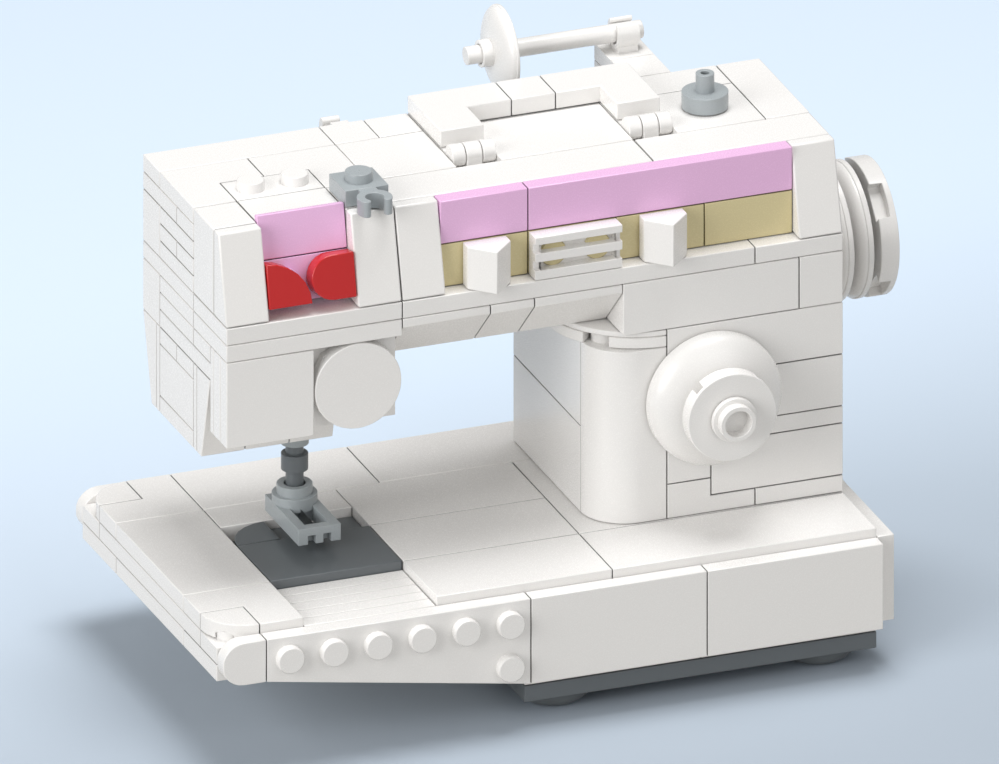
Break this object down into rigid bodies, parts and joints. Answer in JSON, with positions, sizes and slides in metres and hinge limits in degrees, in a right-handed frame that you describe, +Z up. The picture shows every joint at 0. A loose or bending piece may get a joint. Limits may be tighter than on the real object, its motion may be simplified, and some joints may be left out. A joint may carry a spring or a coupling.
{
  "type": "building brick sewing machine",
  "caption": "Model sewing machine built of toy building bricks, with turning handwheel and dial, folding carry handle, spool holder, needle and presser foot.",
  "frame": {"origin": "on the floor under the middle of the bounding box", "axes": "+X runs along the arm from the head to the handwheel, +Y from the front with the dial to the back, +Z up"},
  "size_m": [0.1332, 0.0808, 0.1006],
  "materials": {
    "white_plastic": "glossy moulded plastic",
    "pink_plastic": "glossy moulded plastic",
    "tan_plastic": "glossy moulded plastic",
    "red_plastic": "glossy moulded plastic",
    "light_grey_plastic": "glossy moulded plastic",
    "dark_grey_plastic": "glossy moulded plastic"
  },
  "bodies": {
    "machine": {"arm_box_bricks": "white_plastic", "arm_front_bricks": "white_plastic", "arm_keel_bricks": "white_plastic", "arm_pink_tiles": "pink_plastic", "arm_row_bricks": "white_plastic", "arm_slopes_back": "white_plastic", "arm_slopes_front": "white_plastic", "base_bricks": "white_plastic", "base_plate": "dark_grey_plastic", "bed_plates": "white_plastic", "bed_tiles": "white_plastic", "bobbin_door_plates": "white_plastic", "column_bricks": "white_plastic", "column_corner": "white_plastic", "column_corner_tile": "white_plastic", "column_side_panels": "white_plastic", "grille": "white_plastic", "head_brackets": "white_plastic", "head_lower_core": "white_plastic", "head_plates": "white_plastic", "head_round_tile": "white_plastic", "head_square_tile": "white_plastic", "head_stud_plate": "white_plastic", "hinge_tile": "white_plastic", "ledge_plates": "white_plastic", "needle_collar": "light_grey_plastic", "needle_plates": "dark_grey_plastic", "panel_lower": "pink_plastic", "panel_upper": "pink_plastic", "rear_thread_clip": "white_plastic", "red_half_tile": "red_plastic", "red_quarter_tile": "red_plastic", "selector_knob_left": "white_plastic", "selector_knob_right": "white_plastic", "skirt_tiles_back": "white_plastic", "skirt_tiles_front": "white_plastic", "skirt_tiles_right": "white_plastic", "spool_bracket": "white_plastic", "tan_row": "tan_plastic", "top_tiles_left": "white_plastic", "top_tiles_right": "white_plastic", "wedge_plate_back": "white_plastic", "wedge_plate_front": "white_plastic"},
    "dial": {"dial_dish": "white_plastic", "dial_disc": "white_plastic", "dial_hub": "white_plastic"},
    "handwheel": {"wheel_dish_inner": "white_plastic", "wheel_dish_outer": "white_plastic", "wheel_outer_disc": "white_plastic", "wheel_axle": "white_plastic"},
    "handle": {"handle_tiles": "white_plastic", "handle_plates": "white_plastic"},
    "bobbin": {"bobbin_winder": "light_grey_plastic"},
    "spool": {"spool_bar": "white_plastic", "spool_dish": "white_plastic"},
    "guide": {"thread_guide": "light_grey_plastic"},
    "needle": {"needle_bar": "dark_grey_plastic"},
    "foot": {"presser_foot": "light_grey_plastic"}
  },
  "joints": [
    {"name": "dial_spin", "type": "hinge", "parent": "machine", "child": "dial", "pos_m": [0.02927, -0.01963, 0.0474], "axis": [0, -1, 0], "continuous": true},
    {"name": "handwheel_spin", "type": "hinge", "parent": "machine", "child": "handwheel", "pos_m": [0.05328, 0.00038, 0.0648], "axis": [1, 0, 0], "continuous": true},
    {"name": "handle_fold", "type": "hinge", "parent": "machine", "child": "handle", "pos_m": [0.00928, 0.00038, 0.0898], "axis": [1, 0, 0], "range_deg": [0, 90]},
    {"name": "bobbin_spin", "type": "hinge", "parent": "machine", "child": "bobbin", "pos_m": [0.03728, 0.00438, 0.0896], "axis": [0, 0, 1], "continuous": true},
    {"name": "spool_spin", "type": "hinge", "parent": "machine", "child": "spool", "pos_m": [0.03327, 0.03238, 0.0926], "axis": [1, 0, 0], "continuous": true},
    {"name": "thread_guide_turn", "type": "hinge", "parent": "machine", "child": "guide", "pos_m": [-0.03072, -0.00923, 0.0896], "axis": [0, 0, 1], "range_deg": [0, 60]},
    {"name": "needle_slide", "type": "slide", "parent": "machine", "child": "needle", "axis": [0, 0, 1], "range_m": [-0.0015, 0.0015]},
    {"name": "presser_foot_turn", "type": "hinge", "parent": "needle", "child": "foot", "pos_m": [-0.03873, 0.00038, 0.0306], "axis": [0, 0, 1], "continuous": true}
  ]
}
